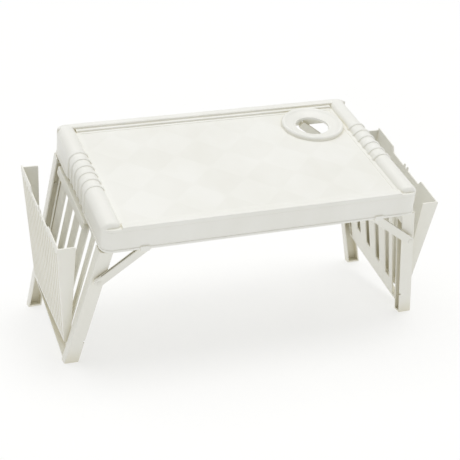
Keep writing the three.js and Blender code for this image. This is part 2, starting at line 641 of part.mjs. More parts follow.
for (const side of [-1, 1]) {
  const word = side < 0 ? 'left' : 'right';
  const leg = new THREE.Group();
  leg.position.set(side * HINGE_X, 0, HINGE_Z);
  leg.rotation.y = -side * radians(SPLAY);
  level.add(leg);
  table.updateMatrixWorld(true);

  const intoLeg = leg.matrixWorld.clone().invert();
  const ground = solid(new THREE.BoxGeometry(2000, 2000, 400).translate(0, 0, -200).applyMatrix4(intoLeg));
  const layer = new THREE.BoxGeometry(2000, 2000, SOLE).translate(0, 0, SOLE / 2);
  const sole = solid(layer.applyMatrix4(intoLeg));
  leg.add(meshOf(`${word}_leg_frame`, buildLegFrame(side, ground, sole), ivoryFrame));

  const middle = pocketAxisPoint(side, 0);
  const slant = Math.atan2(
    pocketAxisPoint(side, POCKET_K).z - pocketAxisPoint(side, -POCKET_K).z,
    pocketAxisPoint(side, POCKET_K).y - pocketAxisPoint(side, -POCKET_K).y,
  );
  const hinge = new THREE.Group();
  hinge.position.copy(middle);
  hinge.rotation.x = slant;
  const opened = new THREE.Group();
  opened.rotation.y = side * radians(POCKET_OPEN);
  const straight = new THREE.Group();
  straight.rotation.x = -slant;
  const pocket = meshOf(`${word}_pocket`, buildPocket(side), ivoryFrame);
  pocket.position.copy(middle).negate();
  straight.add(pocket);
  opened.add(straight);
  hinge.add(opened);
  leg.add(hinge);

  for (const end of [-1, 1]) {
    const place = end < 0 ? 'front' : 'back';
    const hingeFrom = new THREE.Vector3(0, end * HINGE_PIN_FROM, 0);
    const hingeTo = new THREE.Vector3(0, end * HINGE_PIN_TO, 0);
    leg.add(meshOf(`${word}_${place}_leg_pin`, bar(hingeFrom, hingeTo, HINGE_PIN_RADIUS), nylon));

    const pivot = bracePivot();
    const arm = new THREE.Group();
    arm.position.set(side * pivot.x, 0, pivot.z);
    leg.add(arm);
    arm.add(meshOf(`${word}_${place}_brace_rivet`, buildRivet(end), nylon));
    const brace = meshOf(`${word}_${place}_brace`, buildBrace(side, end), ivoryFrame);
    brace.rotation.y = side * radians(BRACE_RISE + SPLAY);
    arm.add(brace);

    const pinFrom = pocketAxisPoint(side, end * (POCKET_K - 5));
    const pinTo = pocketAxisPoint(side, end * (POST_INNER_K + 5));
    leg.add(meshOf(`${word}_${place}_pocket_pin`, bar(pinFrom, pinTo, POCKET_PIN_RADIUS, 16), nylon));
  }
}
// The origin is on the floor under the middle of the whole table.
const extent = new THREE.Box3().setFromObject(table, true);
level.position.y = -(extent.min.y + extent.max.y) / 2;
table.updateMatrixWorld(true);

export default table;
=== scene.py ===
"""Looks of the folding tray table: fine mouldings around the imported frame, plastics, floor, light, camera."""

import json
import math

import bmesh
import bpy
from mathutils import Matrix, Quaternion, Vector


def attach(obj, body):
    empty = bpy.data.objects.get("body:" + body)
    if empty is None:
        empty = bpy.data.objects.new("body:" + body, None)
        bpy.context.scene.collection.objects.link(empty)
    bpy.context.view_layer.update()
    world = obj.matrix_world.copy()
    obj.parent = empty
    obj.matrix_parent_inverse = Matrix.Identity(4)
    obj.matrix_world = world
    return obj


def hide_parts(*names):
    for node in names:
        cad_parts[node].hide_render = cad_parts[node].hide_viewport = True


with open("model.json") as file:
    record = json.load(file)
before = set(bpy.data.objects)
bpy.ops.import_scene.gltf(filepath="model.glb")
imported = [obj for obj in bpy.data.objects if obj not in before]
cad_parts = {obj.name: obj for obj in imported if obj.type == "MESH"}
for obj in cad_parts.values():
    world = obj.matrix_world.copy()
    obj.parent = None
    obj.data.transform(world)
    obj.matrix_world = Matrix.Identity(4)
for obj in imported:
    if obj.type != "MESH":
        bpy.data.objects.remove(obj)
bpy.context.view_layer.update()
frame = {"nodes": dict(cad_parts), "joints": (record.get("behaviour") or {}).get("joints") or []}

MM = 0.001

# ---- driving dimensions, in millimetres and degrees, as in the CAD ------------------------------
TRAY_WIDTH = 560
TRAY_DEPTH = 336
SKIRT_HEIGHT = 46
WALL = 2.6
CORNER_RADIUS = 18
SLOPE = 13
SPLAY = 11
POST_LEAN = 6.4

PLATE_TOP = -4
PLATE_BOTTOM = -7
WELL_HALF_WIDTH = 246.5
FRONT_RIM_WIDTH = 13
BACK_RIM_WIDTH = 14
BACK_STEP_WIDTH = 6
BACK_RIM_TOP = 4

RAIL_RADIUS = 17
RAIL_WALL = 2.6
RAIL_AXIS_X = TRAY_WIDTH / 2 - RAIL_RADIUS
RAIL_AXIS_Z = -10
RAIL_FRONT = -163
RAIL_BACK = 165
RAIL_FOOT = -26
RAIL_END_RADIUS = 7
CORNER_STEP_X = 247
CORNER_STEP_TOP = -3
RIDGE_COUNT = 6
RIDGE_PITCH = 22
RIDGE_WIDTH = 7
RIDGE_HEIGHT = 2.3
RIDGE_CENTRE_Y = 8
GRIP_HALF_LENGTH = 66
GRIP_HEIGHT = 8

CUP_X = 186
CUP_Y = 91
CUP_OUTER_RADIUS = 58
CUP_HOLE_RADIUS = 31
CUP_TOP = 3.6

HINGE_X = TRAY_WIDTH / 2 - 14
HINGE_Z = -34
HINGE_BORE = 2.85
LUG_RADIUS = 8
EAR_FROM = 141
EAR_TO = 146
LUG_THICK = 5.8
LUG_GAP = 0.8
CATCH_WIDTH = 16
CATCH_SHIFT = 12.5

FRAME_OUTER = 14
FRAME_INNER = -10
FRAME_TOP = -16.2
POST_OUTER_K = 160.5
POST_INNER_K = 138.5
PANEL_OUTER = 3
PANEL_FOOT_FRONT = 247
PANEL_FOOT_BACK = 238.5
TOP_BAR = 20
LEDGE_DROP = 6
LEDGE_FRONT_K = -62
SOLE = 3
FLANGE_SLOT_FRONT_K = -98.5
FLANGE_SLOT_BACK_K = 122.5
FLANGE_SLOT_TOP = 5
SLOT_WIDTH = 20
SLOT_PITCH = 50
SLOT_COUNT = 4
SLOT_MIDDLE_K = 3
SLOT_TOP = 16
SLOT_FOOT_FRONT = 217
SLOT_FOOT_BACK = 189
POST_RUN = 400
NOTCH_DROP = 197
NOTCH_HEIGHT = 5
NOTCH_DEPTH = 3

BRACE_PIVOT_X = 2
BRACE_BOSS_RADIUS = 6
BRACE_PIVOT_DROP = 58
BRACE_LENGTH = 108
BRACE_WIDTH = 14.5
BRACE_RISE = 37.5
BRACE_NEAR = 157.8
BRACE_FAR = 164.3
BRACE_WALL = 1.9
STUD_BACK = 14
STUD_RADIUS = 3
STUD_HEIGHT = 0.7
RIVET_BORE = 2.55

POCKET_OPEN = 16
POCKET_K = 132
POCKET_THICK = 2.5
POCKET_AXIS_X = 9
POCKET_NEAR = FRAME_OUTER + 0.8
POCKET_DROP_FRONT = 212
POCKET_DROP_BACK = 228
POCKET_BORE = 2.55
POCKET_HUB_RADIUS = 4.4
POCKET_RIBS = 16
POCKET_TOP_FRONT = 8
POCKET_TOP_BACK = 2
POCKET_DIP = 10
POCKET_DIP_HALF = 56
POCKET_FOOT = 4.5
FLANGE_TOP = 8
PIN_WEB_HALF = 9

DIAMOND_PITCH = 0.094  # metres, like the object coordinates that the materials read
WEAVE_LINES = 420.0

LEAN = math.tan(math.radians(POST_LEAN))


# ---- frames of reference ------------------------------------------------------------------------
def turn(angle, axis):
    return Matrix.Rotation(math.radians(angle), 4, axis)


def shift(x, y, z):
    return Matrix.Translation(Vector((x, y, z)) * MM)


def joint_place(name):
    found = next(j for j in frame["joints"] if j["name"] == name)
    return Matrix.Translation(Vector(found["pos_m"]))


LEVEL = joint_place("right_leg_fold") @ turn(SLOPE, "X") @ shift(-HINGE_X, 0, -HINGE_Z)
LEG = LEVEL @ shift(HINGE_X, 0, HINGE_Z) @ turn(-SPLAY, "Y")
BRACE = LEG @ shift(BRACE_PIVOT_X, 0, FRAME_TOP - BRACE_PIVOT_DROP) @ turn(BRACE_RISE + SPLAY, "Y")


def frame_point(k, s):
    """A point of the frame's face: k along the frame at its top edge, s down the frame."""
    return (k * (1 - LEAN * s / POST_OUTER_K), FRAME_TOP - s)


def pocket_drop(k):
    middle = (POCKET_DROP_FRONT + POCKET_DROP_BACK) / 2
    return middle + (POCKET_DROP_BACK - POCKET_DROP_FRONT) * k / (2 * POCKET_K)


def pocket_top(k):
    """How far below the frame's top edge the pocket's upper edge runs."""
    return POCKET_TOP_FRONT + (POCKET_TOP_BACK - POCKET_TOP_FRONT) * (k + POCKET_K) / (2 * POCKET_K)


def pocket_axis_point(k):
    y, z = frame_point(k, pocket_drop(k))
    return Vector((POCKET_AXIS_X, y, z))


def pocket_matrix():
    middle = pocket_axis_point(0)
    run = pocket_axis_point(POCKET_K) - pocket_axis_point(-POCKET_K)
    slant = math.degrees(math.atan2(run.z, run.y))
    return (
        LEG @ shift(*middle) @ turn(slant, "X") @ turn(POCKET_OPEN, "Y")
        @ turn(-slant, "X") @ shift(*(-middle))
    )


POCKET = pocket_matrix()
MIRROR = Matrix.Scale(-1, 4, (1, 0, 0))


# ---- outlines -----------------------------------------------------------------------------------
def arc(cx, cy, radius, start, end, steps=12):
    points = []
    for i in range(steps + 1):
        angle = math.radians(start + (end - start) * i / steps)
        points.append((cx + radius * math.cos(angle), cy + radius * math.sin(angle)))
    return points


def circle(cx, cy, radius, steps=48):
    return arc(cx, cy, radius, 0, 360 - 360 / steps, steps - 1)


def soften(points, radius, steps=4):
    """The outline with each corner rounded. radius is one number, or one for each corner."""
    count = len(points)
    radii = [radius] * count if isinstance(radius, (int, float)) else radius
    made = []
    for i in range(count):
        here = Vector(points[i])
        before = Vector(points[i - 1]) - here
        after = Vector(points[(i + 1) % count]) - here
        corner = before.angle(after)
        if radii[i] <= 0 or corner > math.radians(176):
            made.append(tuple(here))
            continue
        back = min(radii[i] / math.tan(corner / 2), 0.49 * before.length, 0.49 * after.length)
        one = here + before.normalized() * back
        other = here + after.normalized() * back
        for j in range(steps + 1):
            t = j / steps
            bend = (1 - t) * (1 - t) * one + 2 * t * (1 - t) * here + t * t * other
            made.append(tuple(bend))
    return made


def rounded_rectangle(x0, x1, y0, y1, radius, steps=10):
    return (
        arc(x1 - radius, y0 + radius, radius, -90, 0, steps)
        + arc(x1 - radius, y1 - radius, radius, 0, 90, steps)
        + arc(x0 + radius, y1 - radius, radius, 90, 180, steps)
        + arc(x0 + radius, y0 + radius, radius, 180, 270, steps)
    )


def plan_outline(outset=0, steps=12):
    x = TRAY_WIDTH / 2 + outset
    y = TRAY_DEPTH / 2 + outset
    return rounded_rectangle(-x, x, -y, y, CORNER_RADIUS + outset, steps)


# ---- solids, in millimetres ---------------------------------------------------------------------
def mesh_from(points, faces):
    bm = bmesh.new()
    verts = [bm.verts.new(p) for p in points]
    for face in faces:
        bm.faces.new([verts[i] for i in face])
    bmesh.ops.recalc_face_normals(bm, faces=bm.faces)
    mesh = bpy.data.meshes.new("solid")
    bm.to_mesh(mesh)
    bm.free()
    return mesh


def loft(rings, close=False):
    """A solid through rings of points. With close, the last ring joins the first and there are no caps."""
    count = len(rings[0])
    points = [p for ring in rings for p in ring]
    faces = []
    last = len(rings) if close else len(rings) - 1
    for r in range(last):
        a = r * count
        b = ((r + 1) % len(rings)) * count
        for i in range(count):
            j = (i + 1) % count
            faces.append((a + i, a + j, b + j, b + i))
    if not close:
        faces.append(tuple(range(count)))
        faces.append(tuple(range((len(rings) - 1) * count, len(rings) * count)))
    return mesh_from(points, faces)


def slab(outline, low, high, edge=0.0, holes=(), plane="XY"):
    """A plate with rounded rims, drawn in a plane and running from low to high along the third axis."""
    curve = bpy.data.curves.new("slab", "CURVE")
    curve.dimensions = "2D"
    curve.fill_mode = "BOTH"
    curve.extrude = abs(high - low) / 2 - edge
    curve.bevel_depth = edge
    curve.bevel_resolution = 2
    curve.offset = -edge
    for loop in [outline, *holes]:
        spline = curve.splines.new("POLY")
        spline.points.add(len(loop) - 1)
        for point, place in zip(spline.points, loop):
            point.co = (place[0], place[1], 0, 1)
        spline.use_cyclic_u = True
    holder = bpy.data.objects.new("slab", curve)
    bpy.context.scene.collection.objects.link(holder)
    graph = bpy.context.evaluated_depsgraph_get()
    mesh = bpy.data.meshes.new_from_object(holder.evaluated_get(graph))
    bpy.data.objects.remove(holder)
    bpy.data.curves.remove(curve)
    middle = (low + high) / 2
    placed = {
        "XY": Matrix(((1, 0, 0, 0), (0, 1, 0, 0), (0, 0, 1, middle), (0, 0, 0, 1))),
        "YZ": Matrix(((0, 0, 1, middle), (1, 0, 0, 0), (0, 1, 0, 0), (0, 0, 0, 1))),
        "XZ": Matrix(((1, 0, 0, 0), (0, 0, -1, middle), (0, 1, 0, 0), (0, 0, 0, 1))),
    }
    mesh.transform(placed[plane])
    bm = bmesh.new()
    bm.from_mesh(mesh)
    bmesh.ops.remove_doubles(bm, verts=bm.verts, dist=0.0005)
    bmesh.ops.recalc_face_normals(bm, faces=bm.faces)
    bm.to_mesh(mesh)
    bm.free()
    return mesh


def block(x0, x1, y0, y1, z0, z1, edge=0.5, corner=0.6):
    outline = rounded_rectangle(min(x0, x1), max(x0, x1), min(y0, y1), max(y0, y1), corner, 3)
    return slab(outline, z0, z1, edge)


def rod(start, end, radius, steps=32):
    start = Vector(start)
    end = Vector(end)
    axis = (end - start).normalized()
    side = axis.orthogonal().normalized()
    other = axis.cross(side)
    rings = []
    for centre in (start, end):
        rings.append([centre + side * x + other * y for x, y in circle(0, 0, radius, steps)])
    return loft(rings)


def lathe(profile, steps, place):
    """A closed profile of (radius, height) turned about Z, then placed."""
    rings = []
    for i in range(steps):
        angle = 2 * math.pi * i / steps
        rings.append([(r * math.cos(angle), r * math.sin(angle), z) for r, z in profile])
    mesh = loft(rings, close=True)
    mesh.transform(place)
    return mesh


def combine(steps):
    """Joins, cuts or trims solids in order: steps is a list of (operation, mesh), starting with the first."""
    holders = []
    for _, mesh in steps:
        holder = bpy.data.objects.new("step", mesh)
        bpy.context.scene.collection.objects.link(holder)
        holders.append(holder)
    start = holders[0]
    for (operation, _), holder in zip(steps[1:], holders[1:]):
        modifier = start.modifiers.new("step", "BOOLEAN")
        modifier.solver = "MANIFOLD"
        modifier.operation = operation
        modifier.object = holder
    graph = bpy.context.evaluated_depsgraph_get()
    made = bpy.data.meshes.new_from_object(start.evaluated_get(graph))
    for holder in holders:
        mesh = holder.data
        bpy.data.objects.remove(holder)
        bpy.data.meshes.remove(mesh)
    return made


def joined(meshes):
    return [("UNION", mesh) for mesh in meshes]


def cut(meshes):
    return [("DIFFERENCE", mesh) for mesh in meshes]


def mirrored_y(mesh):
    other = mesh.copy()
    other.transform(Matrix.Scale(-1, 4, (0, 1, 0)))
    other.flip_normals()
    return other


# ---- materials ----------------------------------------------------------------------------------
class Nodes:
    """A short way to write a node tree: each call adds a node, sets its values and links its inputs."""

    def __init__(self, name):
        self.material = bpy.data.materials.new(name)
        self.material.use_nodes = True
        self.tree = self.material.node_tree
        self.tree.nodes.clear()

    def add(self, kind, inputs=None, **settings):
        node = self.tree.nodes.new("ShaderNode" + kind)
        for key, value in settings.items():
            setattr(node, key, value)
        for key, value in (inputs or {}).items():
            if isinstance(value, bpy.types.NodeSocket):
                self.tree.links.new(value, node.inputs[key])
            else:
                node.inputs[key].default_value = value
        return node

    def math(self, operation, one, other=0.0):
        return self.add("Math", {0: one, 1: other}, operation=operation).outputs[0]

    def ramp(self, value, low, high, to_low=0.0, to_high=1.0):
        inputs = {"Value": value, "From Min": low, "From Max": high, "To Min": to_low, "To Max": to_high}
        return self.add("MapRange", inputs, interpolation_type="SMOOTHSTEP").outputs["Result"]

    def mix(self, share, one, other, blend="MIX"):
        node = self.add("Mix", data_type="RGBA", blend_type=blend)
        for socket, value in (("Factor_Float", share), ("A_Color", one), ("B_Color", other)):
            target = next(s for s in node.inputs if s.identifier == socket)
            if isinstance(value, bpy.types.NodeSocket):
                self.tree.links.new(value, target)
            else:
                target.default_value = value
        return next(s for s in node.outputs if s.identifier == "Result_Color")


def tray_coordinates(n, where):
    """Object coordinates turned into the tray's own level space."""
    inputs = {"Vector": where, "Location": tuple(LEVEL.translation), "Rotation": (math.radians(SLOPE), 0, 0)}
    return n.add("Mapping", inputs, vector_type="TEXTURE").outputs["Vector"]


def moulded_plastic(name, base, rough, grain, diamonds=False):
    """Moulded plastic: faint mottle, flow marks along the part, fine grain, and painted yellow-brown shade in
    hollows.
    """
    n = Nodes(name)
    where = n.add("TexCoord").outputs["Object"]
    mottle = n.add("TexNoise", {"Vector": where, "Scale": 9.0, "Detail": 3.0}).outputs["Fac"]
    flow_place = n.add("Mapping", {"Vector": where, "Scale": (14.0, 3.0, 5.0)}).outputs["Vector"]
    flow = n.add("TexNoise", {"Vector": flow_place, "Scale": 1.6, "Detail": 4.0}).outputs["Fac"]
    fine = n.add("TexNoise", {"Vector": where, "Scale": 900.0, "Detail": 2.0}).outputs["Fac"]
    pits = n.add("TexVoronoi", {"Vector": where, "Scale": 420.0}).outputs["Distance"]
    paler = tuple(min(1.0, c * 1.018) for c in base)
    darker = (base[0] * 0.975, base[1] * 0.972, base[2] * 0.955)
    tone = n.ramp(n.math("ADD", n.math("MULTIPLY", mottle, 0.6), n.math("MULTIPLY", flow, 0.4)), 0.3, 0.7)
    colour = n.mix(tone, (*darker, 1), (*paler, 1))
    colour = n.mix(n.ramp(fine, 0.62, 0.74, 0.0, 0.12), colour, (*darker, 1))
    broad = n.ramp(mottle, 0.3, 0.7, rough - 0.03, rough + 0.04)
    roughness = n.math("ADD", broad, n.math("MULTIPLY", fine, 0.03))
    bump_height = n.math("ADD", n.math("MULTIPLY", fine, 0.6), n.math("MULTIPLY", pits, 0.5))
    if diamonds:
        split = n.add("SeparateXYZ", {"Vector": tray_coordinates(n, where)})
        across = n.math("DIVIDE", split.outputs["X"], DIAMOND_PITCH)
        along = n.math("DIVIDE", n.math("ADD", split.outputs["Y"], 0.011), DIAMOND_PITCH)
        one = n.math("COSINE", n.math("MULTIPLY", n.math("ADD", across, along), math.pi))
        other = n.math("COSINE", n.math("MULTIPLY", n.math("SUBTRACT", across, along), math.pi))
        pattern = n.math("MULTIPLY", one, other)
        light = n.ramp(pattern, -0.10, 0.10)
        inside_x = n.ramp(n.math("ABSOLUTE", split.outputs["X"]), 0.236, 0.240, 1.0, 0.0)
        from_middle = n.math("ABSOLUTE", n.math("ADD", split.outputs["Y"], 0.003))
        inside_y = n.ramp(from_middle, 0.140, 0.144, 1.0, 0.0)
        from_plate = n.math("ABSOLUTE", n.math("ADD", split.outputs["Z"], 0.004))
        on_plate = n.ramp(from_plate, 0.0006, 0.0012, 1.0, 0.0)
        field = n.math("MULTIPLY", n.math("MULTIPLY", inside_x, inside_y), on_plate)
        dark_share = n.math("MULTIPLY", n.math("SUBTRACT", 1.0, light), field)
        shade = n.mix(1.0, colour, (0.980, 0.979, 0.975, 1), "MULTIPLY")
        colour = n.mix(dark_share, colour, shade)
        roughness = n.math("ADD", roughness, n.math("MULTIPLY", dark_share, 0.10))
        lines_one = n.math("SINE", n.math("MULTIPLY", n.math("ADD", across, along), WEAVE_LINES))
        lines_other = n.math("SINE", n.math("MULTIPLY", n.math("SUBTRACT", across, along), WEAVE_LINES))
        chosen = n.math(
            "ADD", n.math("MULTIPLY", lines_one, light),
            n.math("MULTIPLY", lines_other, n.math("SUBTRACT", 1.0, light)),
        )
        weave = n.math("MULTIPLY", n.math("MULTIPLY", chosen, field), 0.35)
        bump_height = n.math("ADD", bump_height, weave)
    # Painted shade: where ambient occlusion finds surfaces close by, the colour is darkened and tinted
    # yellow-brown. This stands in for shadow and bounce light in hollows.
    shaded = n.add("AmbientOcclusion", {"Distance": 0.05}, samples=6).outputs["AO"]
    painted_shade_share = n.ramp(shaded, 0.1, 0.82, 1.0, 0.0)
    painted_shade_tint = n.mix(1.0, colour, (0.90, 0.862, 0.74, 1), "MULTIPLY")
    colour = n.mix(painted_shade_share, colour, painted_shade_tint)
    bump = n.add("Bump", {"Height": bump_height, "Strength": grain, "Distance": 0.0002}).outputs["Normal"]
    shader = n.add("BsdfPrincipled", {"Base Color": colour, "Roughness": roughness, "Normal": bump})
    shader.inputs["IOR"].default_value = 1.49
    shader.inputs["Specular IOR Level"].default_value = 0.42
    n.add("OutputMaterial", {"Surface": shader.outputs[0]})
    return n.material


TRAY_PLASTIC = moulded_plastic("ivory_tray", (0.868, 0.866, 0.822), 0.36, 0.22, diamonds=True)
FRAME_PLASTIC = moulded_plastic("ivory_frame", (0.858, 0.852, 0.796), 0.42, 0.25)
PIN_NYLON = moulded_plastic("cream_nylon", (0.84, 0.83, 0.77), 0.34, 0.15)


# ---- putting pieces in the scene ----------------------------------------------------------------
def place_piece(name, mesh, matrix, body, node, material, smooth=38):
    piece = bpy.data.objects.new(name, mesh)
    mesh.name = name
    mesh.transform(matrix @ Matrix.Scale(MM, 4))
    mesh.shade_smooth()
    mesh.set_sharp_from_angle(angle=math.radians(smooth))
    mesh.materials.clear()
    mesh.materials.append(material)
    bpy.context.scene.collection.objects.link(piece)
    weighted = piece.modifiers.new("weighted_normals", "WEIGHTED_NORMAL")
    weighted.keep_sharp = True
    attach(piece, body)
    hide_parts(node)
    return piece


def mirror_mesh(mesh):
    other = mesh.copy()
    other.transform(MIRROR)
    other.flip_normals()
    return other


def place_pair(suffix, mesh, matrix, body, node, material):
    """A right-hand piece and its mirror image on the left."""
    other = mirror_mesh(mesh)
    flipped = MIRROR @ matrix @ MIRROR
    place_piece(f"right_{suffix}", mesh, matrix, f"right_{body}", f"right_{node}", material)
    place_piece(f"left_{suffix}", other, flipped, f"left_{body}", f"left_{node}", material)


# ---- tray ---------------------------------------------------------------------------------------
def rail_section(radius, foot=RAIL_FOOT):
    x = RAIL_AXIS_X
    return [(x - radius, foot), (x + radius, foot), *arc(x, RAIL_AXIS_Z, radius, 0, 180, 36)]


def rail():
    """A half-round rail with rounded ends."""
    steps = 6
    rings = []
    for end, direction in ((RAIL_FRONT, 1), (RAIL_BACK, -1)):
        part = []
        for i in range(steps + 1):
            angle = math.radians(90 * i / steps)
            inset = RAIL_END_RADIUS * (1 - math.sin(angle))
            y = end + direction * RAIL_END_RADIUS * (1 - math.cos(angle))
            part.append([(x, y, z) for x, z in rail_section(RAIL_RADIUS - inset)])
        rings += part if direction > 0 else part[::-1]
    plan = slab(plan_outline(), RAIL_AXIS_Z - 2, 2 * RAIL_RADIUS)
    return combine([("UNION", loft(rings)), ("INTERSECT", plan)])


def ridge(y):
    """One grip ridge: over the rail, then down the outside of the skirt."""
    half = RIDGE_WIDTH / 2
    low = -1.0
    profile = [(-half, low), (-half, 0.2)]
    for i in range(9):
        angle = math.pi * (1 - i / 8)
        profile.append((half * 0.98 * math.cos(angle), 0.35 + (RIDGE_HEIGHT - 0.35) * math.sin(angle) ** 0.8))
    profile += [(half, 0.2), (half, low)]
    path = [((RAIL_AXIS_X + RAIL_RADIUS, -SKIRT_HEIGHT + 0.4), (1, 0))]
    for i in range(31):
        angle = math.radians(175 * i / 30)
        spot = (RAIL_AXIS_X + RAIL_RADIUS * math.cos(angle), RAIL_AXIS_Z + RAIL_RADIUS * math.sin(angle))
        path.append((spot, (math.cos(angle), math.sin(angle))))
    rings = []
    for (x, z), (nx, nz) in path:
        rings.append([(x + nx * up, y + along, z + nz * up) for along, up in profile])
    return loft(rings)


def hinge_lug(start, end):
    top = PLATE_TOP - 1.5
    x = HINGE_X
    outline = [(x + LUG_RADIUS, top), (x - LUG_RADIUS, top), *arc(x, HINGE_Z, LUG_RADIUS, 180, 360, 24)]
    return slab(outline, start, end, 0.5, plane="XZ")


def cup_ring():
    r = CUP_OUTER_RADIUS
    h = CUP_HOLE_RADIUS
    top = [
        (r, PLATE_TOP - 2.2), (r, PLATE_TOP + 0.1), (r - 0.2, PLATE_TOP + 2.4), (r - 0.6, PLATE_TOP + 5.0),
        (r - 1.1, CUP_TOP - 2.2), (r - 1.9, CUP_TOP - 1.0), (r - 3.1, CUP_TOP - 0.25), (r - 4.4, CUP_TOP),
        (r - 5.8, CUP_TOP - 0.15), (r - 7.4, CUP_TOP - 0.7),
        (r - 9.4, CUP_TOP - 1.9), (r - 11.2, CUP_TOP - 3.1),
        (h + 9.0, PLATE_TOP + 2.6), (h + 6.0, PLATE_TOP + 1.3), (h + 3.6, PLATE_TOP + 0.5),
        (h + 1.8, PLATE_TOP - 0.1), (h + 0.7, PLATE_TOP - 0.8), (h + 0.15, PLATE_TOP - 1.7),
        (h, PLATE_TOP - 2.6), (h, PLATE_BOTTOM - 1.0),
        (h + 0.6, PLATE_BOTTOM - 1.6), (h + 2.4, PLATE_BOTTOM - 1.6),
        (h + 3.0, PLATE_BOTTOM - 1.0), (h + 3.0, PLATE_BOTTOM + 0.8), (r - 2.0, PLATE_BOTTOM + 0.8),
    ]
    return lathe(top, 128, Matrix.Translation((CUP_X, CUP_Y, 0)))


def tray_mesh():
    half_x = TRAY_WIDTH / 2
    half_y = TRAY_DEPTH / 2
    back_inner = half_y - BACK_RIM_WIDTH - BACK_STEP_WIDTH
    front_inner = -half_y + FRONT_RIM_WIDTH
    well = rounded_rectangle(-WELL_HALF_WIDTH, WELL_HALF_WIDTH, front_inner, back_inner, 5, 6)
    bend = math.degrees(math.asin((CORNER_RADIUS - BACK_RIM_WIDTH) / CORNER_RADIUS))
    back_rim = [
        *arc(half_x - CORNER_RADIUS, half_y - CORNER_RADIUS, CORNER_RADIUS, bend, 90, 12),
        *arc(-half_x + CORNER_RADIUS, half_y - CORNER_RADIUS, CORNER_RADIUS, 90, 180 - bend, 12),
    ]
    margin_x = WELL_HALF_WIDTH - 6
    margin = rounded_rectangle(-margin_x, margin_x, front_inner + 6, back_inner - 6, 4, 6)
    lip_x = WELL_HALF_WIDTH + 3
    inner_lip = rounded_rectangle(-lip_x, lip_x, front_inner - 3, back_inner + 3, 4, 6)
    rim = slab(plan_outline(), PLATE_BOTTOM - 2, 0, 1.9, [well])
    side_room = [block(x, x + 40, RAIL_FRONT + 6, RAIL_BACK - 6, -12, 2) for x in (-half_x - 6, half_x - 34)]
    for low_x, high_x in ((-half_x - 6, -CORNER_STEP_X), (CORNER_STEP_X, half_x + 6)):
        side_room.append(block(low_x, high_x, -half_y - 6, front_inner, CORNER_STEP_TOP, 6, 0.4))
    body = [
        combine([("UNION", rim)] + cut(side_room)),
        slab(plan_outline(-1.0), PLATE_BOTTOM, PLATE_TOP),
        slab(inner_lip, PLATE_BOTTOM, PLATE_TOP + 0.6, 0.3, [margin]),
        slab(plan_outline(), -SKIRT_HEIGHT, PLATE_TOP - 4, 0.8, [plan_outline(-WALL)]),
        slab(back_rim, PLATE_BOTTOM, BACK_RIM_TOP, 1.8),
        slab(plan_outline(1.4), -SKIRT_HEIGHT, -SKIRT_HEIGHT + 4.5, 1.1, [plan_outline(-WALL + 0.3)]),
        cup_ring(),
    ]
    for x in (-180, -90, 0, 90, 180):
        body.append(block(x - 1, x + 1, -half_y + 1.5, half_y - 1.5, -13, PLATE_TOP - 1, 0.3, 0.5))
    for y in (-84, 0, 84):
        body.append(block(-RAIL_AXIS_X + 12, RAIL_AXIS_X - 12, y - 1, y + 1, -13, PLATE_TOP - 1, 0.3, 0.5))

    sided = [rail()]
    for i in range(RIDGE_COUNT):
        sided.append(ridge(RIDGE_CENTRE_Y + (i - (RIDGE_COUNT - 1) / 2) * RIDGE_PITCH))
    catch_x = brace_tip_x() + CATCH_SHIFT
    for end in (-1, 1):
        for near in (EAR_FROM - LUG_GAP - LUG_THICK, EAR_TO + LUG_GAP):
            sided.append(hinge_lug(*sorted((end * near, end * (near + LUG_THICK)))))
        skin = end * half_y
        outline = rounded_rectangle(
            catch_x - CATCH_WIDTH / 2, catch_x + CATCH_WIDTH / 2,
            -SKIRT_HEIGHT - 3, -SKIRT_HEIGHT + 6.5, 1.6, 4,
        )
        low, high = sorted((skin - end, skin + end * 2.9))
        sided.append(slab(outline, low, high, 0.6, plane="XZ"))

    hollow = rail_section(RAIL_RADIUS - RAIL_WALL)
    grip = [
        (RIDGE_CENTRE_Y + GRIP_HALF_LENGTH * y, -SKIRT_HEIGHT + GRIP_HEIGHT * z)
        for y, z in circle(0, 0, 1, 64)
    ]
    runs = (
        (RAIL_FRONT + 10, -EAR_TO - LUG_THICK - 2),
        (-EAR_FROM + LUG_THICK + 2, EAR_FROM - LUG_THICK - 2),
    )
    sided_cuts = [slab(hollow, low, high, 0, plane="XZ") for low, high in runs]
    sided_cuts.append(slab(grip, half_x - 8, half_x + 8, 0, plane="YZ"))
    for end in (-1, 1):
        sided_cuts.append(rod((HINGE_X, end * 130, HINGE_Z), (HINGE_X, end * 158, HINGE_Z), HINGE_BORE))
    cuts = [rod((CUP_X, CUP_Y, -30), (CUP_X, CUP_Y, 20), CUP_HOLE_RADIUS - 0.001, 128)]

    body += sided + [mirror_mesh(mesh) for mesh in sided]
    cuts += sided_cuts + [mirror_mesh(mesh) for mesh in sided_cuts]
    return combine(joined(body) + cut(cuts))


def brace_tip_x():
    swing = math.radians(SPLAY)
    pivot_z = FRAME_TOP - BRACE_PIVOT_DROP
    x = HINGE_X + BRACE_PIVOT_X * math.cos(swing) - pivot_z * math.sin(swing)
    return x - BRACE_LENGTH * math.cos(math.radians(BRACE_RISE))


# ---- leg frames ---------------------------------------------------------------------------------
def frame_quad(k0, k1, s0, s1):
    return [frame_point(k0, s0), frame_point(k1, s0), frame_point(k1, s1), frame_point(k0, s1)]


def post(section, radii):
    """A channel: a section in (x, k) run down the frame."""
    smooth = soften(section, radii)
    rings = []
    for s in (0.6, POST_RUN):
        rings.append([(x, *frame_point(k, s)) for x, k in smooth])
    return loft(rings)


def slanted(at_front, at_back, k):
    """A value that changes evenly along k, from one post to the other."""
    return at_front + (at_back - at_front) * (k + POST_INNER_K) / (2 * POST_INNER_K)


def slanted_quad(k0, k1, top, at_front, at_back, margin=0):
    foot0 = slanted(at_front, at_back, k0) - margin
    foot1 = slanted(at_front, at_back, k1) - margin
    return [frame_point(k0, top), frame_point(k1, top), frame_point(k1, foot1), frame_point(k0, foot0)]


